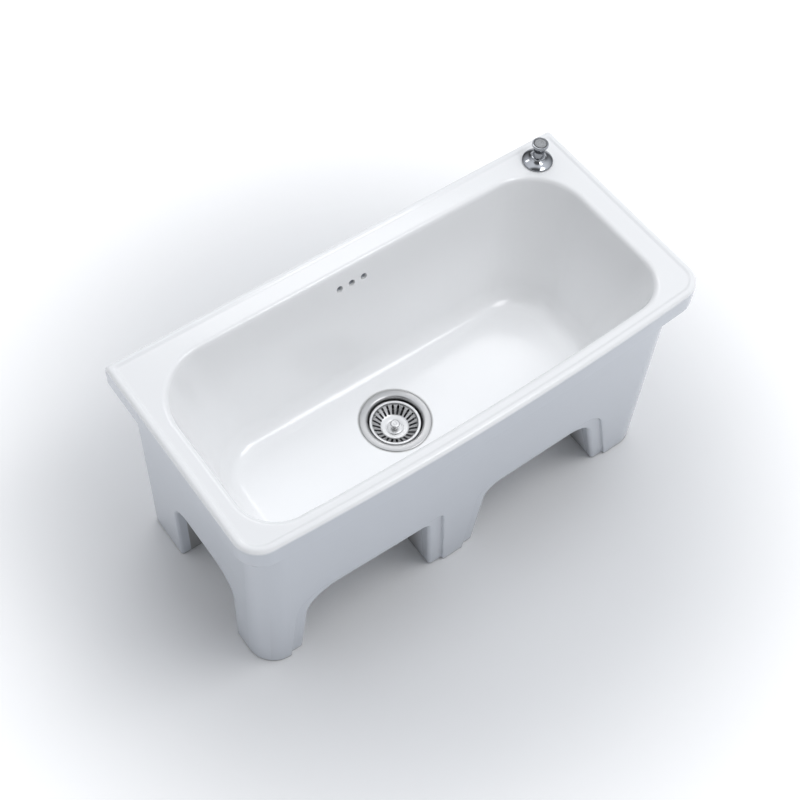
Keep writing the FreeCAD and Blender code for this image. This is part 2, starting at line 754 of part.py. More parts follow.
def turned_body(label, corners, across="0", along="0", height="0"):
    body = doc.addObject("PartDesign::Body", label)
    body.Label = label
    revolve(body, label, corners)
    place(body, across, along, height)
    return body


def polar(body, name, feature, count):
    pattern = body.newObject("PartDesign::PolarPattern", name)
    pattern.Originals = [feature]
    pattern.Axis = (next(part for part in body.Origin.OriginFeatures if part.Role == "Z_Axis"), [""])
    pattern.Angle = 360
    bind(pattern, Occurrences=count)
    body.Tip = pattern
    return pattern


def ring(inner, outer, bottom, top):
    """Outline of a plain ring."""
    return [(inner, bottom), (outer, bottom), (outer, top), (inner, top)]


DRAIN = ("drain_place", "drain_depth_place", FLOOR)
CONTROL = (CONTROL_ACROSS, CONTROL_ALONG, DECK)

# Levels of the waste, from the basin floor
SEAT = "(-seat_depth)"
FLANGE_UNDER = "(flange_seal_thickness - seat_depth)"
FLANGE_TOP = f"({FLANGE_UNDER} + flange_thickness)"
BOWL_OUTER = "(bowl_radius + bowl_wall)"
BOWL_UNDER = "(-bowl_depth - bowl_wall)"
BODY_TOP = "(-floor_thickness - gasket_thickness)"
BODY_BORE = "(bowl_radius + bowl_wall + drain_clearance)"
LEDGE_BORE = f"({BODY_BORE} - body_ledge)"
CHAMBER_LOW = f"({BOWL_UNDER} - chamber_height)"
CONE_LOW = f"({CHAMBER_LOW} - outlet_cone_height)"
OUTLET_END = f"({CONE_LOW} - outlet_length)"
OUTLET_BORE = "(outlet_radius - outlet_wall)"
BOSS_RADIUS = "(screw_radius + boss_wall)"
SCREW_END = "(-bowl_depth - screw_length)"
PIN_BORE = "(pin_radius + pin_clearance)"
ROLL_MIDDLE = "((2 - sqrt(2)) * bowl_wall)"
GUIDE_LEVEL = f"({SCREW_END} - guide_radius)"
BOSS_END = f"({GUIDE_LEVEL} - guide_radius)"
PIN_TOP = "(-bowl_depth + screw_head_height + plug_thickness + 2 * plug_clearance)"


def waste_flange():
    body = turned_body("waste_flange", [
        ("screw_radius + screw_clearance", BOWL_UNDER),
        (BOWL_OUTER, BOWL_UNDER),
        (BOWL_OUTER, FLANGE_UNDER),
        ("flange_radius", FLANGE_UNDER),
        ("flange_radius", f"{FLANGE_TOP} - bowl_wall / 2"),
        ("flange_radius - bowl_wall", FLANGE_TOP),
        ("bowl_radius + 2 * bowl_wall", FLANGE_TOP,
         (f"bowl_radius + {ROLL_MIDDLE}", f"{FLANGE_TOP} - {ROLL_MIDDLE}")),
        ("bowl_radius", f"{FLANGE_TOP} - 2 * bowl_wall"),
        ("bowl_radius", "-bowl_depth"),
        ("screw_radius + screw_clearance", "-bowl_depth"),
    ], *DRAIN)
    sketch = attached(body, "bowl_hole_outline", "XY_Plane")
    Sketch(sketch).circle("bowl_hole_ring", "0", "bowl_hole_radius")
    hole = body.newObject("PartDesign::Pocket", "bowl_hole")
    hole.Profile = sketch
    hole.Type = "ThroughAll"
    polar(body, "bowl_hole_ring_pattern", hole, "bowl_holes")
    return body


def strainer_basket():
    lip_top = "(-basket_drop)"
    lip_under = "(-basket_drop - basket_sheet)"
    shoulder = f"({lip_under} - basket_shoulder)"
    wall_radius = "(basket_radius - basket_lip)"
    cup_under = "(-basket_cup_drop - basket_sheet)"
    body = turned_body("strainer_basket", [
        ("0", cup_under),
        ("basket_cup_radius", cup_under),
        (wall_radius, shoulder),
        (f"{wall_radius} + basket_sheet / 2", lip_under),
        ("basket_radius", lip_under, ("basket_radius + basket_sheet / 2", f"{lip_under} + basket_sheet / 2")),
        ("basket_radius", lip_top),
        (f"{wall_radius} - basket_sheet / 2", lip_top),
        (f"{wall_radius} - basket_sheet", shoulder),
        ("basket_cup_radius - basket_sheet / 2", "-basket_cup_drop"),
        ("0", "-basket_cup_drop"),
    ], *DRAIN)
    sketch = attached(body, "slot_outline", "XY_Plane")
    Sketch(sketch).polygon([
        ("basket_cup_radius + slot_margin", "-slot_width / 2"),
        (f"{wall_radius} - slot_margin", "-slot_width / 2",
         (f"{wall_radius} - slot_margin + slot_width / 2", "0")),
        (f"{wall_radius} - slot_margin", "slot_width / 2"),
        ("basket_cup_radius + slot_margin", "slot_width / 2",
         ("basket_cup_radius + slot_margin - slot_width / 2", "0")),
    ])
    slot = body.newObject("PartDesign::Pocket", "slot")
    slot.Profile = sketch
    slot.Type = "ThroughAll"
    polar(body, "slot_pattern", slot, "slot_count")
    return body


def basket_pieces():
    floor = "(-basket_cup_drop)"
    turned_body("basket_knob", [
        ("0", floor),
        ("knob_neck_radius + basket_sheet", floor),
        ("knob_neck_radius", f"{floor} + basket_sheet"),
        ("knob_neck_radius", f"{floor} + knob_height / 2"),
        ("knob_head_radius", f"{floor} + 3 * knob_height / 4"),
        ("knob_head_radius", f"{floor} + knob_height - basket_sheet"),
        ("knob_head_radius - basket_sheet", f"{floor} + knob_height"),
        ("0", f"{floor} + knob_height"),
    ], *DRAIN)
    seal_under = "(seat_gap - bowl_depth)"
    seal_top = f"({seal_under} + seal_thickness)"
    head_room = "(-bowl_depth + screw_head_height + plug_clearance)"
    turned_body("basket_plug", [
        ("pin_radius + plug_clearance", head_room),
        ("screw_head_radius + plug_clearance", head_room),
        ("screw_head_radius + plug_clearance", seal_top),
        ("plug_radius", seal_top),
        ("plug_radius", f"{seal_top} + plug_thickness"),
        ("plug_hub_radius", f"{seal_top} + 2 * plug_thickness"),
        ("plug_hub_radius", f"{floor} - basket_sheet"),
        ("0", f"{floor} - basket_sheet"),
        ("0", f"{PIN_TOP} + plug_clearance"),
        ("pin_radius + plug_clearance", f"{PIN_TOP} + plug_clearance"),
    ], *DRAIN)
    turned_body("basket_seal", ring("plug_radius - seal_width", "plug_radius", seal_under, seal_top), *DRAIN)


def waste_body():
    """Moulded cup, with a boss for the screw on ribs, a cable guide and a tail for the overflow hose."""
    cup = turned_body("waste_cup", [
        (BODY_BORE, BODY_TOP),
        (BODY_BORE, BOWL_UNDER),
        (LEDGE_BORE, BOWL_UNDER),
        (LEDGE_BORE, CHAMBER_LOW),
        (OUTLET_BORE, CONE_LOW),
        (OUTLET_BORE, OUTLET_END),
        ("outlet_radius", OUTLET_END),
        ("outlet_radius", CONE_LOW),
        (f"{LEDGE_BORE} + body_wall", CHAMBER_LOW),
        (f"{LEDGE_BORE} + body_wall", f"{BOWL_UNDER} - body_ledge"),
        (f"{BODY_BORE} + body_wall", BOWL_UNDER),
        (f"{BODY_BORE} + body_wall", f"{BODY_TOP} - body_flange_height"),
        (f"{BODY_BORE} + gasket_width", f"{BODY_TOP} - body_flange_height"),
        (f"{BODY_BORE} + gasket_width", BODY_TOP),
    ], *DRAIN)
    sketch = attached(cup, "rib_outline", "XZ_Plane")
    Sketch(sketch).polygon(ring(f"{BOSS_RADIUS} - boss_wall / 2", f"{LEDGE_BORE} + body_wall / 2",
                                f"{CHAMBER_LOW} + body_wall", f"{CHAMBER_LOW} + chamber_height / 2"))
    rib = cup.newObject("PartDesign::Pad", "rib")
    rib.Profile = sketch
    rib.Midplane = True
    bind(rib, Length="rib_thickness")
    polar(cup, "rib_pattern", rib, "rib_count")
    revolve(cup, "boss", [
        ("0", BOSS_END),
        (BOSS_RADIUS, BOSS_END),
        (BOSS_RADIUS, BOWL_UNDER),
        ("screw_radius", BOWL_UNDER),
        ("screw_radius", SCREW_END),
        (PIN_BORE, SCREW_END),
        (PIN_BORE, GUIDE_LEVEL),
        ("0", GUIDE_LEVEL),
    ])
    along = "drain_depth_place"
    guide_height = f"{FLOOR} + {GUIDE_LEVEL}"
    guide = cylinder("cable_guide", "guide_radius", f"guide_length - {BOSS_RADIUS} + boss_wall",
                     f"drain_place + {BOSS_RADIUS} - boss_wall", along, guide_height, Vector(1, 0, 0))
    guide_bore = cylinder("cable_guide_bore", "guide_bore", "guide_length + body_wall", "drain_place", along,
                          guide_height, Vector(1, 0, 0))
    tail_height = f"{FLOOR} + {BOWL_UNDER} - chamber_height / 2"
    tail = cylinder("hose_tail", "tail_radius", "body_wall / 2 + tail_length", "drain_place",
                    f"{along} + {LEDGE_BORE} + body_wall / 2", tail_height, Vector(0, 1, 0))
    tail_bore = cylinder("hose_tail_bore", "tail_radius - tail_wall", "3 * body_wall + tail_length",
                         "drain_place", f"{along} + {LEDGE_BORE} - body_wall", tail_height, Vector(0, 1, 0))
    moulding = fuse("waste_moulding", cup, guide, tail)
    body = cut("waste_body", moulding, fuse("waste_bores", guide_bore, tail_bore))
    body.Label = "waste_body"


def waste_fittings():
    """What clamps the waste to the basin floor, and the pin that raises the basket."""
    turned_body("flange_seal", ring(f"{BODY_BORE} + drain_clearance", "flange_radius - drain_clearance",
                                    SEAT, FLANGE_UNDER), *DRAIN)
    turned_body("body_gasket", ring(f"{BODY_BORE} + drain_clearance", f"{BODY_BORE} + gasket_width",
                                    BODY_TOP, "-floor_thickness"), *DRAIN)
    turned_body("fixing_screw", [
        (PIN_BORE, SCREW_END),
        ("screw_radius", SCREW_END),
        ("screw_radius", "-bowl_depth"),
        ("screw_head_radius", "-bowl_depth"),
        ("screw_head_radius", "-bowl_depth + screw_head_height / 2"),
        ("screw_head_radius - screw_head_height / 2", "-bowl_depth + screw_head_height"),
        (PIN_BORE, "-bowl_depth + screw_head_height"),
    ], *DRAIN)
    turned_body("lift_pin", [
        ("0", f"{PIN_TOP} - pin_length"),
        ("pin_radius", f"{PIN_TOP} - pin_length"),
        ("pin_radius", f"{PIN_TOP} - pin_radius / 3"),
        ("2 * pin_radius / 3", PIN_TOP),
        ("0", PIN_TOP),
    ], *DRAIN)
    gland = turned_body("waste_gland", gland_outline("guide_radius", "gland_radius", "gland_length"),
                        "drain_place + guide_length - 2 * gland_length / 3", "drain_depth_place",
                        f"{FLOOR} + {GUIDE_LEVEL}")
    gland.Placement.Rotation = FreeCAD.Rotation(Vector(0, 0, 1), Vector(1, 0, 0))


def gland_outline(inner, outer, length):
    """Cap that grips a tube end over two thirds of its length, with a nipple for the cable."""
    return [
        (inner, "0"),
        (outer, "0"),
        (outer, length),
        ("nipple_radius", length),
        ("nipple_radius", f"{length} + nipple_length"),
        ("guide_bore", f"{length} + nipple_length"),
        ("guide_bore", f"2 * {length} / 3"),
        (inner, f"2 * {length} / 3"),
    ]


def overflow_fittings():
    """Hose tail under the overflow chamber, held in a rubber grommet."""
    spot = ("overflow_place", TAIL_ALONG, f"{CHAMBER_FLOOR} - chamber_wall")
    turned_body("overflow_grommet",
                ring("tail_radius", "tail_radius + grommet_wall", "0", "chamber_wall"), *spot)
    barb = "tail_radius + barb_height"
    low = "-tail_collar_height - tail_length"
    turned_body("overflow_tail", [
        ("tail_radius - tail_wall", low),
        ("tail_radius", low),
        (barb, f"{low} + tail_length / 4"),
        ("tail_radius", f"{low} + tail_length / 4"),
        (barb, f"{low} + tail_length / 2"),
        ("tail_radius", f"{low} + tail_length / 2"),
        ("tail_radius", "-tail_collar_height"),
        ("tail_collar_radius", "-tail_collar_height"),
        ("tail_collar_radius", "0"),
        ("tail_radius", "0"),
        ("tail_radius", "chamber_wall"),
        ("tail_radius - tail_wall", "chamber_wall"),
    ], *spot)


# Levels of the pull knob, from the deck
ROSETTE_UNDER = "rosette_seal_thickness"
ROSETTE_TOP = "(rosette_seal_thickness + rosette_height)"
COLLAR_TOP = f"({ROSETTE_TOP} + collar_height)"
PULL_BASE = f"({COLLAR_TOP} + pull_gap)"
PULL_TOP = f"({PULL_BASE} + pull_height)"
SPINDLE_BORE = "(spindle_radius + spindle_clearance)"
SOCKET_TOP = f"({ROSETTE_UNDER} + shank_socket)"
SHANK_END = f"({SOCKET_TOP} - shank_length)"


def control_fixed():
    """Rosette on the deck, and the threaded shank that a nut draws down through the rim."""
    turned_body("rosette_seal", ring("shank_radius + shank_clearance", "rosette_radius - rosette_edge", "0",
                                     ROSETTE_UNDER), *CONTROL)
    turned_body("control_rosette", [
        ("shank_radius", ROSETTE_UNDER),
        ("rosette_radius", ROSETTE_UNDER),
        ("rosette_radius", f"{ROSETTE_UNDER} + rosette_edge",
         ("collar_radius + dome_place * (rosette_radius - collar_radius)",
          f"{ROSETTE_UNDER} + rosette_edge + dome_rise * (rosette_height - rosette_edge)")),
        ("collar_radius + rosette_edge", ROSETTE_TOP),
        ("collar_radius", f"{ROSETTE_TOP} + rosette_edge / 2"),
        ("collar_radius", COLLAR_TOP),
        (SPINDLE_BORE, COLLAR_TOP),
        (SPINDLE_BORE, SOCKET_TOP),
        ("shank_radius", SOCKET_TOP),
    ], *CONTROL)
    turned_body("control_shank", ring(SPINDLE_BORE, "shank_radius", SHANK_END, SOCKET_TOP), *CONTROL)
    rim_under = "(lip_height - fascia_height)"
    washer_under = f"({rim_under} - washer_thickness)"
    turned_body("deck_washer", ring("shank_radius", "washer_radius", washer_under, rim_under), *CONTROL)
    nut = doc.addObject("PartDesign::Body", "lock_nut")
    nut.Label = "lock_nut"
    sketch = attached(nut, "nut_outline", "XY_Plane")
    half_side = "nut_flats * tan(30) / 2"
    tip = "nut_flats * tan(30)"
    Sketch(sketch).polygon([
        (tip, "0"),
        (half_side, "nut_flats / 2"),
        (f"-{half_side}", "nut_flats / 2"),
        (f"-{tip}", "0"),
        (f"-{half_side}", "-nut_flats / 2"),
        (half_side, "-nut_flats / 2"),
    ])
    Sketch(sketch).circle("0", "0", "shank_radius")
    pad = nut.newObject("PartDesign::Pad", "nut")
    pad.Profile = sketch
    bind(pad, Length="nut_height")
    place(nut, *CONTROL[:2], f"{DECK} + {washer_under} - nut_height")
    gland = turned_body("control_gland", gland_outline("shank_radius", "shank_radius + boss_wall / 2",
                                                       "gland_length"),
                        *CONTROL[:2], f"{DECK} + {SHANK_END} + 2 * gland_length / 3")
    gland.Placement.Rotation = FreeCAD.Rotation(Vector(1, 0, 0), 180)


def control_moving():
    """Knob with its spindle and its inlaid cap."""
    inlay = "(pull_top_radius - cap_margin)"
    spindle_top = f"({PULL_BASE} + spindle_depth)"
    turned_body("control_knob", [
        ("spindle_radius", PULL_BASE),
        ("pull_base_radius", PULL_BASE,
         ("pull_waist_radius + pull_sweep * (pull_base_radius - pull_waist_radius)",
          f"{PULL_BASE} + pull_waist_height / 2")),
        ("pull_waist_radius", f"{PULL_BASE} + pull_waist_height",
         ("pull_waist_radius + pull_flare * (pull_top_radius - pull_waist_radius)",
          f"{PULL_TOP} - pull_height / 3")),
        ("pull_top_radius", f"{PULL_TOP} - pull_brim"),
        ("pull_top_radius", f"{PULL_TOP} - cap_depth"),
        ("pull_top_radius - cap_depth", PULL_TOP),
        (inlay, PULL_TOP),
        (inlay, f"{PULL_TOP} - cap_depth"),
        ("0", f"{PULL_TOP} - cap_depth"),
        ("0", spindle_top),
        ("spindle_radius", spindle_top),
    ], *CONTROL)
    turned_body("knob_cap", [
        ("0", f"{PULL_TOP} - cap_depth"),
        (inlay, f"{PULL_TOP} - cap_depth"),
        (inlay, PULL_TOP),
        (f"{inlay} - cap_margin", f"{PULL_TOP} + cap_depth / 4"),
        (f"{inlay} - 2 * cap_margin", f"{PULL_TOP} - cap_depth / 2"),
        ("0", f"{PULL_TOP} - cap_depth / 2"),
    ], *CONTROL)
    turned_body("control_spindle", [
        ("0", f"{spindle_top} - spindle_length"),
        ("spindle_radius", f"{spindle_top} - spindle_length"),
        ("spindle_radius", spindle_top),
        ("0", spindle_top),
    ], *CONTROL)


sink_body()
waste_flange()
strainer_basket()
basket_pieces()
waste_body()
waste_fittings()
overflow_fittings()
control_fixed()
control_moving()
doc.recompute()
for thing in doc.Objects:
    if "Invalid" in thing.State or "Error" in thing.State:
        raise RuntimeError(f"{thing.Name} failed: {thing.State}")
nodes = [thing for thing in doc.Objects if thing.TypeId == "PartDesign::Body" and thing.Name != "waste_cup"]
nodes += [doc.getObject("sink_body"), doc.getObject("waste_body")]
os.makedirs("parts", exist_ok=True)
for node in nodes:
    if node.Shape.isNull() or not node.Shape.isValid():
        raise RuntimeError(f"{node.Label} has no valid shape")
    print(node.Label, len(node.Shape.Solids), round(node.Shape.Volume))
    node.Shape.exportStep(f"parts/{node.Label}.step")
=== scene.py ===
import json
import math

import bpy
from bpy.props import FloatProperty, FloatVectorProperty, IntProperty, PointerProperty
from mathutils import Matrix, Vector


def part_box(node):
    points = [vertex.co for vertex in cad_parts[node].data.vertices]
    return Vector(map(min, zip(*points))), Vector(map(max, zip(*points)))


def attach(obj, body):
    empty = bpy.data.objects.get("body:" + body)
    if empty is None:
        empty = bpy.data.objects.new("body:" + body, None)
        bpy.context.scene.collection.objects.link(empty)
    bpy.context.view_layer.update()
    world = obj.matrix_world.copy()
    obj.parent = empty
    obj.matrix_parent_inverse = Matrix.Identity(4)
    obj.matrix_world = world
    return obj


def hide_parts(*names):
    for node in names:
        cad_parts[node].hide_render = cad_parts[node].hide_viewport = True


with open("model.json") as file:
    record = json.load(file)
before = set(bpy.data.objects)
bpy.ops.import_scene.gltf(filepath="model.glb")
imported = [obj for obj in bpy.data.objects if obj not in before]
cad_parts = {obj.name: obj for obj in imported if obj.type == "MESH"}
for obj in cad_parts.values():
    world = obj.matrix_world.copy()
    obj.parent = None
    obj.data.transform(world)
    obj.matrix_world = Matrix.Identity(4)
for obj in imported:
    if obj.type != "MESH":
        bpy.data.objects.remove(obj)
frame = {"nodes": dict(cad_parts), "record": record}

bl_info = {
    "name": "Mop sink",
    "version": (1, 0, 0),
    "blender": (4, 5, 0),
    "location": "3D View > Sidebar > Mop sink",
    "description": "Dresses a packed ceramic mop sink, its waste and its pull knob, and lights it",
    "category": "Object",
}

NODES = frame["nodes"]
BODIES = frame["record"]["behaviour"]["bodies"]
BODY_OF = {node: body for body, members in BODIES.items() for node in members}
bpy.context.view_layer.update()
MM = 0.001
LOWEST, HIGHEST = 0, 1
FINE = 96  # steps round a turned piece


def axis_of(node):
    """Middle of a node's box in plan: the axis of a turned piece."""
    low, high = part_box(node)
    return (low.x + high.x) / 2, (low.y + high.y) / 2


DRAIN = axis_of("basket_knob")
CONTROL = axis_of("control_rosette")
OVERFLOW = axis_of("overflow_tail")
DECK = 0.403  # height of the deck
LEAN = 0.254  # how far the basin's walls come in for each step down
BOW = 0.0853  # how the front bows: so much for the square of the distance across
# Where the basin's full white glaze ends at the height of the deck, inside the ceramic; outside it the
# outer walls get painted shade
BASIN_LEFT, BASIN_RIGHT = -0.374, 0.361
BASIN_FRONT, BASIN_BACK = -0.170, 0.1505
BASIN_CORNER = 0.4565  # across plus along, at the knob's corner
BASIN_UNDER = 0.1805  # height where it ends below
# Where shade is painted inside the hollow feet as dark unglazed ceramic, with the ways over which it fades
# out
SHADE_ACROSS = (-0.372, 0.338)
SHADE_FRONT, SHADE_BACK = (-0.172, -0.120), (0.140, 0.146)
SHADE_CORNER = (0.435, 0.445)  # across plus along, at the knob's corner
SHADE_TOP = (0.160, 0.178)
BARE_FOOT = (0.0006, 0.0024)  # heights over which the glaze starts above the ground
# Painted shade in the overflow's hollow behind its holes, in plan from the axis of its tail
CHAMBER_SHADE_ACROSS, CHAMBER_SHADE_ALONG = (-0.032, 0.032), (-0.022, 0.013)
CHAMBER_SHADE_HEIGHTS = (0.334, 0.383)
# Lamps, and the place that they face
STRIP_PLACE, STRIP_SIZE = (0.65, 1.37, 2.2), (1.6, 0.3)
KEY_PLACE, KEY_SIZE = (0.75, -0.75, 2.4), (0.9, 0.6)
LIT_PLACE = Vector((0.0, 0.0, 0.3))
# Directions in the sky: three that are bright, and the one of the dark patch
UP = (0.0, 0.0, 1.0)
FRONT_HIGH = (0.0, -0.7, 0.71)
RIGHT_LOW = (0.97, 0.0, 0.24)
BEHIND_CAMERA = (-0.35, -0.41, 0.84)
# Cosines between which the bright parts, the dark patch and the horizon fade
BRIGHT_FADE, PATCH_FADE, HORIZON_FADE = (0.2, 1.0), (0.80, 0.93), (0.0, 0.22)
FLOOR_SIZE = 100.0  # side of the stage's floor
GLOW_START, GLOW_FULL = 0.4, 0.95  # distances from the middle between which the floor's glow sets in
SMOOTH_BELOW = math.radians(30.0)  # edges that bend less than this are shaded smooth


# Shader maths

class Wire:
    """An output socket of a node tree. Arithmetic on wires adds Math nodes."""

    def __init__(self, graph, socket):
        self.graph = graph
        self.socket = socket

    def maths(self, operation, first, second=0.0):
        return self.graph.node("Math", {"operation": operation}, {0: first, 1: second})

    def __add__(self, other):
        return self.maths("ADD", self, other)

    def __radd__(self, other):
        return self.maths("ADD", other, self)

    def __sub__(self, other):
        return self.maths("SUBTRACT", self, other)

    def __rsub__(self, other):
        return self.maths("SUBTRACT", other, self)

    def __mul__(self, other):
        return self.maths("MULTIPLY", self, other)

    def __rmul__(self, other):
        return self.maths("MULTIPLY", other, self)

    def root(self):
        return self.maths("SQRT", self)

    def between(self, low, high):
        """Rises smoothly from 0 at low to 1 at high."""
        return self.graph.node("MapRange", {"interpolation_type": "SMOOTHSTEP"},
                               {"Value": self, "From Min": low, "From Max": high})

    def past(self, limit, blur=MM):
        """0 before a limit and 1 past it."""
        return self.between(limit - blur / 2, limit + blur / 2)

    def inside(self, low, high):
        """1 from low to high, and 0 on both sides of that."""
        return self.between(low - 0.5 * MM, low) * (1.0 - self.between(high, high + 0.5 * MM))


class Graph:
    """A node tree that is written as expressions."""

    def __init__(self, tree, coordinates):
        self.tree = tree
        self.place = self.node("TexCoord", {}, {}, coordinates)

    def node(self, kind, settings, sockets, output=0):
        """Add a node: its settings first, then values or wires for its sockets, by number or by name."""
        added = self.tree.nodes.new("ShaderNode" + kind)
        for name, setting in settings.items():
            setattr(added, name, setting)
        for key, value in sockets.items():
            self.feed(added.inputs[key], value)
        return Wire(self, added.outputs[output])

    def feed(self, socket, value):
        if isinstance(value, Wire):
            self.tree.links.new(value.socket, socket)
        elif socket.type == "RGBA":
            socket.default_value = (*value[:3], 1.0)
        else:
            socket.default_value = value

    def blend(self, share, first, second):
        """Mix two colours. The share is 0 for the first and 1 for the second."""
        return self.node("Mix", {"data_type": "RGBA"}, {0: share, 6: first, 7: second}, 2)

    def part(self, letter):
        """One of the coordinates."""
        return self.node("SeparateXYZ", {}, {0: self.place}, letter)

    def aim(self, direction):
        """How far the coordinates point along a direction."""
        return self.node("VectorMath", {"operation": "DOT_PRODUCT"}, {0: self.place, 1: direction}, "Value")

    def noise(self, scale, detail):
        return self.node("TexNoise", {}, {"Vector": self.place, "Scale": scale, "Detail": detail})

    def radius(self, axis):
        """Distance from an upright axis."""
        across = self.part("X") - axis[0]
        along = self.part("Y") - axis[1]
        return (across * across + along * along).root()

    def rings(self, axis, lines):
        """Uneven rings about an upright axis, so many to the metre."""
        return self.node("TexNoise", {"noise_dimensions": "1D"},
                         {"W": self.radius(axis), "Scale": lines, "Detail": 3.0})

    def bump(self, height, depth, strength):
        """A normal from a height between 0 and 1 that stands for a depth in metres."""
        return self.node("Bump", {}, {"Strength": strength, "Distance": depth, "Height": height}, "Normal")


def finish(name, make, **constants):
    """A procedural material on Object coordinates. The make function gives the sockets that vary."""
    material = bpy.data.materials.new(name)
    material.use_nodes = True
    shader = next(node for node in material.node_tree.nodes if node.type == "BSDF_PRINCIPLED")
    graph = Graph(material.node_tree, "Object")
    for socket, value in {**make(graph), **constants}.items():
        graph.feed(shader.inputs[socket.replace("_", " ")], value)
    return material


def darker(colour, share):
    return tuple(channel * (1.0 - share) for channel in colour)


def painted_hollow_shade(across, along, height):
    """1 inside the hollow feet, where shade is painted as dark unglazed ceramic, and 0 on the outer walls.
    """
    depth = along.between(*SHADE_FRONT) * (1.0 - along.between(*SHADE_BACK))
    corner = 1.0 - (across + along).between(*SHADE_CORNER)
    return across.inside(*SHADE_ACROSS) * depth * corner * (1.0 - height.between(*SHADE_TOP))


def glaze(settings):
    """White glaze over fireclay, full white on the deck and in the basin, with painted shade on the outer
    walls as a darker, cooler copy of it.

    Inside the hollow feet behind the arches shade is painted as dark unglazed ceramic, the glaze runs out
    under the feet, and painted shade darkens the overflow's hollow behind its holes."""
    def make(graph):
        across, along, height = (graph.part(letter) for letter in "XYZ")
        waves = graph.noise(scale=9.0, detail=3.0)
        peel = graph.noise(scale=160.0, detail=2.0)
        inward = LEAN * (DECK - height)
        width = (across - inward).past(BASIN_LEFT) * (1.0 - (across + inward).past(BASIN_RIGHT))
        front = (along - inward - BOW * across * across).past(BASIN_FRONT)
        back = 1.0 - (along + inward).past(BASIN_BACK)
        corner = 1.0 - (across + along + 2.0 * inward).past(BASIN_CORNER, 2.0 * MM)
        basin = width * front * back * corner * height.past(BASIN_UNDER)
        # 1 in the basin and on the deck's top band, where no shade is painted; 0 on the outer walls, which
        # get painted shade
        unshaded = 1.0 - (1.0 - basin) * (1.0 - height.between(DECK - 6.0 * MM, DECK - 0.5 * MM))
        # 0 on the bare soles, and 0 inside the hollow feet, where shade is painted in the same dark colour
        glazed_and_unshaded = height.between(*BARE_FOOT) * (1.0 - painted_hollow_shade(across, along, height))
        # Painted shade: the overflow's hollow behind its holes is coloured nearly black
        shift, depth = across - OVERFLOW[0], along - OVERFLOW[1]
        chamber_shade_plan = shift.inside(*CHAMBER_SHADE_ACROSS) * depth.inside(*CHAMBER_SHADE_ALONG)
        chamber_shade = chamber_shade_plan * height.inside(*CHAMBER_SHADE_HEIGHTS)
        # Painted shade: the outer walls take a darker, bluer copy of the glaze colour, while the basin and
        # the deck's top keep the full colour
        unshaded_tone = graph.blend(waves, darker(settings.colour, 0.025), settings.colour)
        painted_shade_tone = graph.blend(waves, darker(settings.painted_shade, 0.03), settings.painted_shade)
        tone = graph.blend(glazed_and_unshaded, settings.clay_and_shade, graph.blend(unshaded, painted_shade_tone, unshaded_tone))
        return {
            "Base_Color": graph.blend(chamber_shade, tone, settings.chamber_shade),
            "Roughness": settings.roughness + 0.06 * waves + 0.5 * (1.0 - glazed_and_unshaded),
            "Normal": graph.bump(0.85 * waves + 0.15 * peel, settings.wave_depth, strength=0.6),
        }
    return finish("white_glaze", make, IOR=1.52)


def turned_metal(name, axis, colour, roughness, lines, contrast):
    """Metal with fine rings about an upright axis, as from a lathe or a brush."""
    def make(graph):
        rings = graph.rings(axis, lines)
        stain = graph.noise(scale=55.0, detail=3.0)
        return {
            "Base_Color": graph.blend(rings, darker(colour, contrast), colour),
            "Roughness": roughness + roughness * (0.2 * rings + 0.12 * stain),
            "Normal": graph.bump(rings, depth=0.04 * MM, strength=0.3),
        }
    return finish(name, make, Metallic=1.0)


def plated_metal(name, colour, roughness):
    """Plated metal with faint smears."""
    def make(graph):
        smear = graph.noise(scale=38.0, detail=4.0)
        return {
            "Base_Color": graph.blend(smear, darker(colour, 0.06), colour),
            "Roughness": roughness + 0.05 * smear,
        }
    return finish(name, make, Metallic=1.0)


def moulding(name, colour, roughness, grain, depth):
    """Moulded plastic or rubber with a fine grain."""
    def make(graph):
        grains = graph.noise(grain, detail=3.0)
        cloud = graph.noise(scale=30.0, detail=2.0)
        return {
            "Base_Color": graph.blend(cloud, darker(colour, 0.2), colour),
            "Roughness": roughness + 0.15 * grains,
            "Normal": graph.bump(grains, depth, strength=0.5),
        }
    return finish(name, make)


def ringed_plastic(name, axis, colour):
    """Plastic cap with turned rings and uneven worn patches, with a painted dark reflection round its edge.
    """
    def make(graph):
        rings = graph.rings(axis, lines=520.0)
        wear = graph.noise(scale=240.0, detail=2.0)
        # Painted reflection: a dark ring round the cap's rim
        edge = graph.radius(axis).between(8.2 * MM, 9.6 * MM)
        pale = (0.3 + 0.7 * rings) * (0.5 + wear) * (1.0 - edge)
        return {
            "Base_Color": graph.blend(pale, darker(colour, 0.8), colour),
            "Roughness": 0.3 + 0.2 * rings,
            "Normal": graph.bump(rings, depth=0.08 * MM, strength=0.5),
        }
    return finish(name, make)


# Modelling

def edit(piece):
    """Make one piece the only selected one, and open it for editing with nothing selected in it."""
    bpy.ops.object.select_all(action="DESELECT")
    piece.select_set(True)
    bpy.context.view_layer.objects.active = piece
    bpy.ops.object.mode_set(mode="EDIT")
    bpy.ops.mesh.select_all(action="DESELECT")


def close(piece):
    """Merge a piece's doubles, turn its faces outwards, and leave editing with its place in its mesh."""
    bpy.ops.mesh.select_all(action="SELECT")
    bpy.ops.mesh.remove_doubles(threshold=1e-6)
    bpy.ops.mesh.normals_make_consistent(inside=False)
    bpy.ops.object.mode_set(mode="OBJECT")
    bpy.ops.object.transform_apply(location=True, rotation=True, scale=True)
    return piece


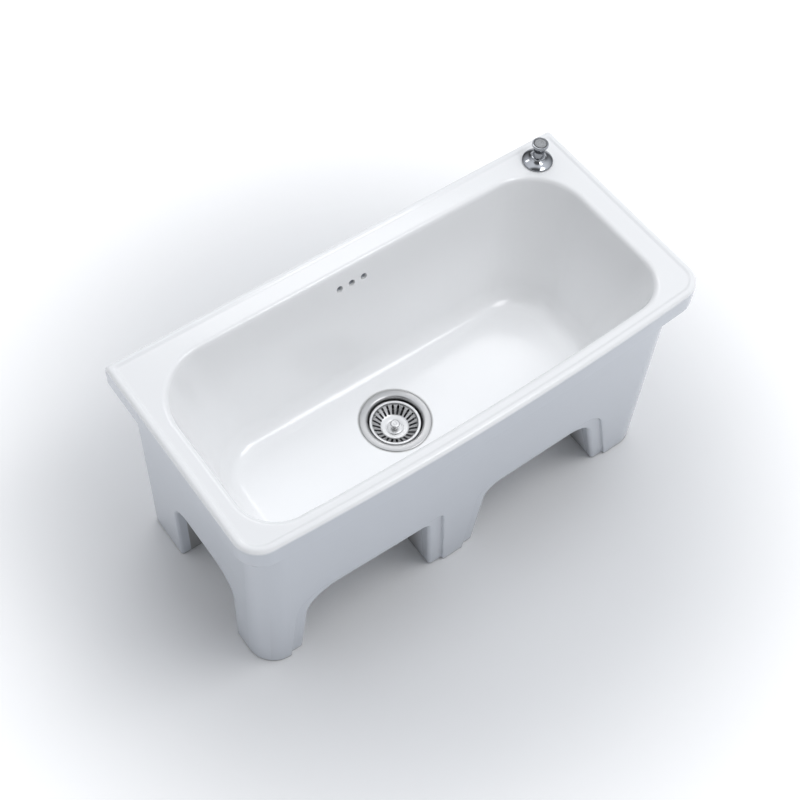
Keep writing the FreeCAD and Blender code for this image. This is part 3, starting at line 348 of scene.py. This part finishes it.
def turn(name, outline, steps=FINE):
    """Turn an outline of (radius, height) corners, in millimetres, about the upright axis, ring by ring.

    It is capped where it starts and ends on the axis, and otherwise its end is joined to its start."""
    capped = outline[0][0] == 0.0
    rings = [(radius * MM, height * MM) for radius, height in outline if radius > 0.0]
    if not capped:
        rings.append(rings[0])
    bpy.ops.object.select_all(action="DESELECT")
    bpy.ops.mesh.primitive_circle_add(vertices=steps, radius=rings[0][0], location=(0.0, 0.0, rings[0][1]),
                                      fill_type="NGON" if capped else "NOTHING")
    piece = bpy.context.object
    piece.name = name
    bpy.ops.object.mode_set(mode="EDIT")
    bpy.ops.mesh.select_all(action="SELECT")
    for (radius, low), (wider, high) in zip(rings, rings[1:]):
        bpy.ops.mesh.extrude_edges_move(TRANSFORM_OT_translate={"value": (0.0, 0.0, high - low)})
        growth = wider / radius
        bpy.ops.transform.resize(value=(growth, growth, 1.0), center_override=(0.0, 0.0, high))
    if capped:
        bpy.ops.mesh.edge_face_add()
    return close(piece)


def repeat_round(piece, count):
    """Copy a piece's mesh round the upright axis."""
    edit(piece)
    bpy.ops.mesh.select_all(action="SELECT")
    bpy.ops.mesh.spin(steps=count - 1, dupli=True, angle=math.tau * (count - 1) / count,
                      center=(0.0, 0.0, 0.0), axis=(0.0, 0.0, 1.0))
    return close(piece)


def carve(piece, tool, operation="DIFFERENCE"):
    """Cut a piece with a tool, and remove the tool."""
    carving = piece.modifiers.new("carving", "BOOLEAN")
    carving.operation = operation
    carving.solver = "EXACT"
    carving.object = tool
    bpy.context.view_layer.objects.active = piece
    bpy.ops.object.modifier_apply(modifier=carving.name)
    bpy.data.objects.remove(tool)
    return piece


def merge(piece, *others):
    """Join other meshes to a piece."""
    bpy.ops.object.select_all(action="DESELECT")
    for other in (piece, *others):
        other.select_set(True)
    bpy.context.view_layer.objects.active = piece
    bpy.ops.object.join()
    return piece


def thread(name, crest, depth, pitch, low, high):
    """A helical ridge about the upright axis, in millimetres."""
    bpy.ops.object.select_all(action="DESELECT")
    bpy.ops.mesh.primitive_circle_add(vertices=3, radius=depth * MM, location=(0.0, 0.0, 0.0))
    ridge = bpy.context.object
    ridge.name = name
    ridge.rotation_euler = (math.radians(90.0), math.radians(90.0), 0.0)
    ridge.location = ((crest - depth) * MM, 0.0, low * MM)
    bpy.ops.object.transform_apply(location=True, rotation=True, scale=True)
    winding = ridge.modifiers.new("winding", "SCREW")
    winding.screw_offset = pitch * MM
    winding.iterations = int((high - low) / pitch)
    winding.steps = 28
    winding.render_steps = 28
    bpy.ops.object.modifier_apply(modifier=winding.name)
    edit(ridge)
    bpy.ops.mesh.select_all(action="SELECT")
    bpy.ops.mesh.fill_holes(sides=3)
    return close(ridge)


def hand_over(piece, material, node, end, facing=(0.0, 0.0, 0.0)):
    """Put a piece on its node's axis, at the node's lowest or highest point, to stand for the node."""
    bpy.ops.object.select_all(action="DESELECT")
    piece.select_set(True)
    bpy.context.view_layer.objects.active = piece
    piece.rotation_euler = facing
    piece.location = (*axis_of(node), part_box(node)[end].z)
    bpy.ops.object.transform_apply(location=True, rotation=True, scale=True)
    bpy.ops.object.shade_smooth_by_angle(angle=SMOOTH_BELOW)
    piece.data.materials.clear()
    piece.data.materials.append(material)
    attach(piece, BODY_OF[node])
    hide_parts(node)


class GlazeSettings(bpy.types.PropertyGroup):
    colour: FloatVectorProperty(name="Glaze", description="Colour of the glaze", subtype="COLOR",
                                default=(0.945, 0.948, 0.95), min=0.0, max=1.0)
    # Painted shade: the outer walls take this darker, cooler copy of the glaze colour
    painted_shade: FloatVectorProperty(name="Thin glaze", description="Colour of the thin glaze on the outer walls",
                              subtype="COLOR", default=(0.59, 0.62, 0.67), min=0.0, max=1.0)
    # Bare under the feet; inside the hollow feet this colour is painted shade
    clay_and_shade: FloatVectorProperty(name="Clay", description="Colour of the bare clay inside and under the feet",
                              subtype="COLOR", default=(0.30, 0.30, 0.30), min=0.0, max=1.0)
    # Painted shade: the overflow's hollow behind its holes is coloured this dark
    chamber_shade: FloatVectorProperty(name="Chamber", description="Colour in the overflow's unglazed chamber",
                                 subtype="COLOR", default=(0.02, 0.02, 0.02), min=0.0, max=1.0)
    roughness: FloatProperty(name="Roughness", description="Roughness of the glaze", subtype="FACTOR",
                             default=0.10, min=0.0, max=1.0)
    wave_depth: FloatProperty(name="Waves", description="Depth of the glaze's faint waves",
                              subtype="DISTANCE", unit="LENGTH", default=0.0006, min=0.0, max=0.01)


class WasteSettings(bpy.types.PropertyGroup):
    steel: FloatVectorProperty(name="Steel", description="Colour of the flange",
                               subtype="COLOR", default=(0.50, 0.50, 0.50), min=0.0, max=1.0)
    basket: FloatVectorProperty(name="Basket", description="Colour of the basket's brighter steel",
                                subtype="COLOR", default=(0.68, 0.68, 0.68), min=0.0, max=1.0)
    slot_count: IntProperty(name="Slots", description="Slots round the basket", default=24, min=3, max=60)
    slot_width: FloatProperty(name="Slot width", description="Width of a slot in the basket",
                              subtype="DISTANCE", unit="LENGTH", default=0.0036, min=0.0005, max=0.01)
    bowl_holes: IntProperty(name="Bowl holes", description="Holes in the floor of the flange's bowl",
                            default=6, min=2, max=12)


class ControlSettings(bpy.types.PropertyGroup):
    chrome: FloatVectorProperty(name="Chrome", description="Colour of the rosette and the knob",
                                subtype="COLOR", default=(0.36, 0.37, 0.39), min=0.0, max=1.0)
    cap: FloatVectorProperty(name="Cap", description="Colour of the knob's cap", subtype="COLOR",
                             default=(0.50, 0.51, 0.52), min=0.0, max=1.0)
    thread_pitch: FloatProperty(name="Thread pitch", description="Rise of the shank's thread in one turn",
                                subtype="DISTANCE", unit="LENGTH", default=0.0015, min=0.0005, max=0.005)


class StageSettings(bpy.types.PropertyGroup):
    camera_place: FloatVectorProperty(name="Camera place", description="Where the camera stands",
                                      subtype="TRANSLATION", unit="LENGTH",
                                      default=(-0.7878, -0.8991, 2.0494))
    camera_azimuth: FloatProperty(name="Azimuth", description="Camera's turn from the front",
                                  subtype="ANGLE", unit="ROTATION", default=math.radians(-40.449))
    camera_elevation: FloatProperty(name="Elevation", description="Camera's angle above the level",
                                    subtype="ANGLE", unit="ROTATION", default=math.radians(57.045))
    camera_roll: FloatProperty(name="Roll", description="Camera's turn about its own line of sight",
                               subtype="ANGLE", unit="ROTATION", default=math.radians(5.005))
    lens: FloatProperty(name="Lens", description="Focal length on a 36 mm sensor, in millimetres",
                        subtype="DISTANCE_CAMERA", unit="CAMERA", default=63.427)
    floor: FloatVectorProperty(name="Floor", description="Colour of the floor", subtype="COLOR",
                               default=(0.90, 0.90, 0.90), min=0.0, max=1.0)
    sky: FloatVectorProperty(name="Sky", description="Colour of the even light from all round",
                             subtype="COLOR", default=(0.93, 0.955, 1.0), min=0.0, max=1.0)
    sky_strength: FloatProperty(name="Sky strength", description="Strength of the light from all round",
                                default=1.62, min=0.0)
    key_power: FloatProperty(name="Key light", description="Power of the soft light above the front",
                             subtype="POWER", unit="POWER", default=9.0, min=0.0)
    strip_power: FloatProperty(name="Strip light", description="Power of the strip behind the back deck",
                               subtype="POWER", unit="POWER", default=4.0, min=0.0)
    glow: FloatProperty(name="Glow", description="Light that the floor gives off away from the sink",
                        default=0.45, min=0.0)


class MOPSINK_OT_casting(bpy.types.Operator):
    """Give the ceramic casting its glaze"""
    bl_idname = "mopsink.casting"
    bl_label = "Casting"

    def execute(self, context):
        NODES["sink_body"].data.materials[0] = glaze(context.scene.mop_glaze)
        return {"FINISHED"}


class MOPSINK_OT_flange(bpy.types.Operator):
    """Model the spun flange with its rolled lip, the holes in its bowl, and its bead of sealant"""
    bl_idname = "mopsink.flange"
    bl_label = "Waste flange"

    def execute(self, context):
        settings = context.scene.mop_waste
        flange = turn("spun_flange", [
            (7.2, -36.0), (40.5, -36.0), (42.8, -35.5), (44.1, -34.2), (44.5, -32.4),
            (44.5, -1.8), (56.3, -1.8), (56.9, -1.4), (57.0, -0.9), (56.6, -0.45), (55.8, -0.18),
            (54.6, -0.05), (53.0, 0.0), (50.0, -0.06), (47.6, -0.2), (46.0, -0.5), (44.7, -1.1),
            (43.8, -2.0), (43.3, -3.2),
            (43.3, -31.6), (42.9, -33.2), (41.8, -34.3), (40.0, -34.8), (7.2, -34.8),
        ])
        hole_ring = 23.5 * MM
        bore = turn("bowl_hole", [(0.0, -40.0), (7.0, -40.0), (7.0, -30.0), (0.0, -30.0)], steps=32)
        edit(bore)
        bpy.ops.mesh.select_all(action="SELECT")
        bpy.ops.transform.translate(value=(hole_ring, 0.0, 0.0))
        close(bore)
        carve(flange, repeat_round(bore, settings.bowl_holes))
        steel = turned_metal("spun_steel", DRAIN, tuple(settings.steel),
                             roughness=0.26, lines=900.0, contrast=0.3)
        hand_over(flange, steel, "waste_flange", HIGHEST)
        bead = turn("bedding_bead", [
            (47.5, 0.0), (58.8, 0.0), (58.8, 2.1), (58.4, 2.35),
            (57.6, 2.35), (57.2, 2.1), (57.2, 1.5), (47.5, 1.5),
        ])
        sealant = moulding("pale_sealant", (0.74, 0.74, 0.73), roughness=0.4, grain=500.0, depth=0.04 * MM)
        hand_over(bead, sealant, "flange_seal", LOWEST)
        return {"FINISHED"}


class MOPSINK_OT_basket(bpy.types.Operator):
    """Model the pressed basket with its slots and its lifting knob"""
    bl_idname = "mopsink.basket"
    bl_label = "Strainer basket"

    def execute(self, context):
        settings = context.scene.mop_waste
        steel = turned_metal("pressed_steel", DRAIN, tuple(settings.basket),
                             roughness=0.3, lines=700.0, contrast=0.2)
        hand_over(self.basket(settings), steel, "strainer_basket", HIGHEST)
        hand_over(self.knob(), steel, "basket_knob", LOWEST)
        return {"FINISHED"}

    def basket(self, settings):
        basket = turn("pressed_basket", [
            (0.0, -15.1), (19.8, -15.1), (21.8, -14.8), (23.2, -14.1), (36.0, -5.8), (36.8, -4.9),
            (37.1, -3.6), (37.2, -2.0), (37.9, -1.35), (39.2, -1.3), (39.9, -1.2), (40.35, -0.85),
            (40.4, -0.45), (40.0, -0.1), (39.2, 0.0), (37.6, 0.0), (36.7, -0.25), (36.1, -0.9),
            (35.9, -2.0), (35.7, -4.2), (35.1, -5.1),
            (22.7, -13.1), (21.4, -13.7), (19.6, -13.9), (14.2, -13.9), (13.6, -14.05), (13.1, -14.3),
            (11.9, -14.3), (11.4, -14.05), (10.8, -13.9), (0.0, -13.9),
        ])
        inner, outer, deep = 22.4 * MM, 35.6 * MM, 20.0 * MM
        bpy.ops.object.select_all(action="DESELECT")
        bpy.ops.mesh.primitive_cube_add(size=1.0, location=((inner + outer) / 2, 0.0, -deep / 2),
                                        scale=(outer - inner, settings.slot_width, deep))
        slot = bpy.context.object
        bpy.ops.object.transform_apply(location=True, rotation=True, scale=True)
        edit(slot)
        bpy.ops.object.mode_set(mode="OBJECT")
        for edge in slot.data.edges:
            ends = [slot.data.vertices[index].co for index in edge.vertices]
            edge.select = abs(ends[0].z - ends[1].z) > MM
        bpy.ops.object.mode_set(mode="EDIT")
        bpy.ops.mesh.bevel(offset=settings.slot_width * 0.48, segments=4, affect="EDGES")
        close(slot)
        return carve(basket, repeat_round(slot, settings.slot_count))

    def knob(self):
        return turn("lifting_knob", [
            (0.0, 0.0), (4.6, 0.0), (3.9, 0.4), (3.5, 1.2), (3.3, 2.6), (3.3, 4.6), (3.7, 5.6), (4.9, 6.8),
            (6.4, 7.7), (7.1, 8.3), (7.4, 9.0), (7.35, 9.7), (7.0, 10.3), (6.3, 10.8), (5.2, 11.0),
            (3.2, 11.0), (2.7, 10.8), (2.3, 10.5), (0.0, 10.5),
        ], steps=48)


class MOPSINK_OT_rosette(bpy.types.Operator):
    """Model the domed rosette, with the threaded shank and the nut under it"""
    bl_idname = "mopsink.rosette"
    bl_label = "Rosette"

    def execute(self, context):
        settings = context.scene.mop_control
        chrome = plated_metal("chrome_rosette", tuple(settings.chrome), roughness=0.05)
        brass = turned_metal("turned_brass", CONTROL, (0.70, 0.52, 0.25),
                             roughness=0.28, lines=1500.0, contrast=0.25)
        rosette = turn("domed_rosette", [
            (10.0, 0.0), (24.1, 0.0), (24.45, 0.3), (24.5, 0.8), (24.45, 1.6), (24.2, 2.0), (23.6, 2.4),
            (22.4, 3.1), (20.6, 4.0), (18.4, 4.9), (16.2, 5.7), (14.4, 6.5), (13.2, 7.2), (12.3, 7.9),
            (11.4, 8.4), (10.8, 8.8), (10.5, 9.4), (10.5, 10.5), (10.35, 10.85), (10.0, 11.0), (4.4, 11.0),
            (4.05, 10.7), (4.05, 4.0), (10.0, 4.0),
        ])
        hand_over(rosette, chrome, "control_rosette", LOWEST)
        hand_over(self.shank(settings), brass, "control_shank", LOWEST)
        hand_over(self.nut(), brass, "lock_nut", LOWEST, facing=(0.0, 0.0, math.radians(30.0)))
        return {"FINISHED"}

    def shank(self, settings):
        pitch = settings.thread_pitch / MM
        core = turn("threaded_shank", [
            (4.05, 0.0), (8.6, 0.0), (9.2, 0.6), (9.2, 70.8), (9.0, 72.0), (4.05, 72.0),
        ], steps=48)
        return merge(core, thread("ridge", crest=9.98, depth=0.9, pitch=pitch, low=2.0, high=66.0))

    def nut(self):
        corner = 17.32
        nut = turn("lock_nut_hexagon", [(0.0, 0.0), (corner, 0.0), (corner, 10.0), (0.0, 10.0)], steps=6)
        barrel = turn("chamfer", [
            (0.0, 0.0), (14.8, 0.0), (17.6, 1.6), (17.6, 8.4), (14.8, 10.0), (0.0, 10.0),
        ])
        carve(nut, barrel, "INTERSECT")
        bore = turn("nut_bore", [
            (0.0, -1.0), (11.6, -1.0), (10.0, 0.9), (10.0, 9.1), (11.6, 11.0), (0.0, 11.0),
        ], steps=48)
        return carve(nut, bore)


class MOPSINK_OT_knob(bpy.types.Operator):
    """Model the pull knob with its waist and its ringed cap"""
    bl_idname = "mopsink.knob"
    bl_label = "Pull knob"

    def execute(self, context):
        settings = context.scene.mop_control
        chrome = plated_metal("chrome_knob", tuple(settings.chrome), roughness=0.07)
        knob = turn("waisted_knob", [
            (0.0, 18.0), (4.0, 18.0), (4.0, 0.0), (8.5, 0.0), (8.85, 0.15), (9.0, 0.5), (8.95, 1.1),
            (8.8, 2.6), (8.65, 4.6), (8.55, 6.8), (8.5, 9.0), (8.55, 11.4), (8.8, 14.0), (9.4, 16.8),
            (10.3, 19.2), (11.4, 21.2), (12.5, 22.5), (12.85, 23.1), (13.0, 23.8), (13.0, 25.8),
            (12.85, 26.4), (12.5, 26.8), (11.9, 27.0), (11.0, 26.95), (10.8, 26.7), (10.8, 26.0),
            (0.0, 26.0),
        ])
        hand_over(knob, chrome, "control_knob", LOWEST)
        cap = turn("ringed_cap", [
            (0.0, 0.0), (10.75, 0.0), (10.75, 0.8), (10.5, 1.1), (9.9, 1.25), (9.0, 1.25), (8.6, 1.1),
            (8.3, 0.75), (7.6, 0.6), (7.1, 0.75), (6.8, 1.0), (6.0, 1.05), (5.6, 0.85), (5.3, 0.6),
            (4.3, 0.5), (4.0, 0.65), (3.6, 0.85), (2.8, 0.85), (2.4, 0.6), (0.0, 0.5),
        ])
        hand_over(cap, ringed_plastic("grey_cap", CONTROL, tuple(settings.cap)), "knob_cap", LOWEST)
        NODES["control_spindle"].data.materials[0] = chrome
        return {"FINISHED"}


class MOPSINK_OT_fittings(bpy.types.Operator):
    """Give the plastic, rubber and steel fittings under the sink their finishes"""
    bl_idname = "mopsink.fittings"
    bl_label = "Fittings"

    def execute(self, context):
        plastic = moulding("dark_plastic", (0.09, 0.09, 0.10), roughness=0.42, grain=900.0, depth=0.05 * MM)
        rubber = moulding("black_rubber", (0.045, 0.045, 0.045),
                          roughness=0.62, grain=600.0, depth=0.06 * MM)
        steel = turned_metal("bright_steel", DRAIN, tuple(context.scene.mop_waste.steel),
                             roughness=0.22, lines=1200.0, contrast=0.2)
        for node in ("waste_body", "waste_gland", "overflow_tail", "control_gland", "basket_plug"):
            NODES[node].data.materials[0] = plastic
        for node in ("body_gasket", "overflow_grommet", "rosette_seal", "deck_washer", "basket_seal"):
            NODES[node].data.materials[0] = rubber
        for node in ("fixing_screw", "lift_pin"):
            NODES[node].data.materials[0] = steel
        return {"FINISHED"}


class MOPSINK_OT_stage(bpy.types.Operator):
    """Add the floor, the lights and the camera"""
    bl_idname = "mopsink.stage"
    bl_label = "Stage"

    def execute(self, context):
        settings = context.scene.mop_stage
        self.floor(settings)
        self.sky(context, settings)
        self.lamp("strip_light", STRIP_PLACE, STRIP_SIZE, settings.strip_power)
        self.lamp("key_light", KEY_PLACE, KEY_SIZE, settings.key_power)
        self.camera(context, settings)
        context.scene.view_settings.view_transform = "Standard"
        return {"FINISHED"}

    def floor(self, settings):
        bpy.ops.object.select_all(action="DESELECT")
        bpy.ops.mesh.primitive_plane_add(size=FLOOR_SIZE, location=(0.0, 0.0, -0.5 * MM))
        plane = bpy.context.object
        plane.name = "studio_floor"
        bpy.ops.object.transform_apply(location=True)

        def make(graph):
            speck = graph.noise(scale=2.0, detail=2.0)
            away = graph.radius((0.0, 0.0)).between(GLOW_START, GLOW_FULL)
            return {
                "Base_Color": graph.blend(speck, darker(settings.floor, 0.015), settings.floor),
                "Emission_Color": graph.blend(away, (0.0, 0.0, 0.0), settings.floor),
            }
        pale = finish("pale_floor", make, Roughness=0.9, Emission_Strength=settings.glow)
        plane.data.materials.append(pale)

    def sky(self, context, settings):
        """A soft sky, bright overhead and at the horizon, with a dark patch for the metal to mirror."""
        world = bpy.data.worlds.new("studio")
        world.use_nodes = True
        background = world.node_tree.nodes["Background"]
        graph = Graph(world.node_tree, "Generated")
        above, front, right = (graph.aim(way).between(*BRIGHT_FADE) for way in (UP, FRONT_HIGH, RIGHT_LOW))
        patch = graph.aim(BEHIND_CAMERA).between(*PATCH_FADE)
        horizon = 1.0 - graph.aim(UP).between(*HORIZON_FADE)
        share = (0.84 * above + 0.10 * front + 0.10 * right) * (1.0 - 0.92 * patch) + 0.55 * horizon
        graph.feed(background.inputs["Color"], graph.blend(share, darker(settings.sky, 0.96), settings.sky))
        graph.feed(background.inputs["Strength"], settings.sky_strength)
        context.scene.world = world

    def lamp(self, name, place, size, power):
        bpy.ops.object.light_add(type="AREA", location=place)
        lamp = bpy.context.object
        lamp.name = name
        lamp.data.shape = "RECTANGLE"
        lamp.data.size, lamp.data.size_y = size
        lamp.data.energy = power
        lamp.rotation_euler = (LIT_PLACE - lamp.location).to_track_quat("-Z", "Y").to_euler()

    def camera(self, context, settings):
        turned, rise, roll = settings.camera_azimuth, settings.camera_elevation, settings.camera_roll
        level = Vector((math.sin(turned), -math.cos(turned), 0.0))
        back = math.cos(rise) * level + math.sin(rise) * Vector(UP)
        right = Vector(UP).cross(back).normalized()
        up = back.cross(right)
        across = math.cos(roll) * right + math.sin(roll) * up
        upward = math.cos(roll) * up - math.sin(roll) * right
        facing = Matrix((across, upward, back)).transposed()
        bpy.ops.object.camera_add(location=settings.camera_place, rotation=facing.to_euler())
        view = bpy.context.object
        view.name = "photo_camera"
        view.data.sensor_width = 36.0
        view.data.lens = settings.lens
        view.data.clip_end = 60.0
        context.scene.camera = view


class MOPSINK_PT_panel(bpy.types.Panel):
    """Lists the steps of the mop sink"""
    bl_label = "Mop sink"
    bl_idname = "MOPSINK_PT_panel"
    bl_space_type = "VIEW_3D"
    bl_region_type = "UI"
    bl_category = "Mop sink"

    def draw(self, context):
        for step in STEPS:
            self.layout.operator(step.bl_idname)


STEPS = (MOPSINK_OT_casting, MOPSINK_OT_flange, MOPSINK_OT_basket, MOPSINK_OT_rosette, MOPSINK_OT_knob,
         MOPSINK_OT_fittings, MOPSINK_OT_stage)
GROUPS = {"mop_glaze": GlazeSettings, "mop_waste": WasteSettings, "mop_control": ControlSettings,
          "mop_stage": StageSettings}
CLASSES = (*GROUPS.values(), *STEPS, MOPSINK_PT_panel)


def register():
    for item in CLASSES:
        bpy.utils.register_class(item)
    for name, group in GROUPS.items():
        setattr(bpy.types.Scene, name, PointerProperty(type=group))


def unregister():
    for name in GROUPS:
        delattr(bpy.types.Scene, name)
    for item in reversed(CLASSES):
        bpy.utils.unregister_class(item)


def main():
    register()
    bpy.ops.mopsink.casting()
    bpy.ops.mopsink.flange()
    bpy.ops.mopsink.basket()
    bpy.ops.mopsink.rosette()
    bpy.ops.mopsink.knob()
    bpy.ops.mopsink.fittings()
    bpy.ops.mopsink.stage()


if __name__ == "__main__":
    main()
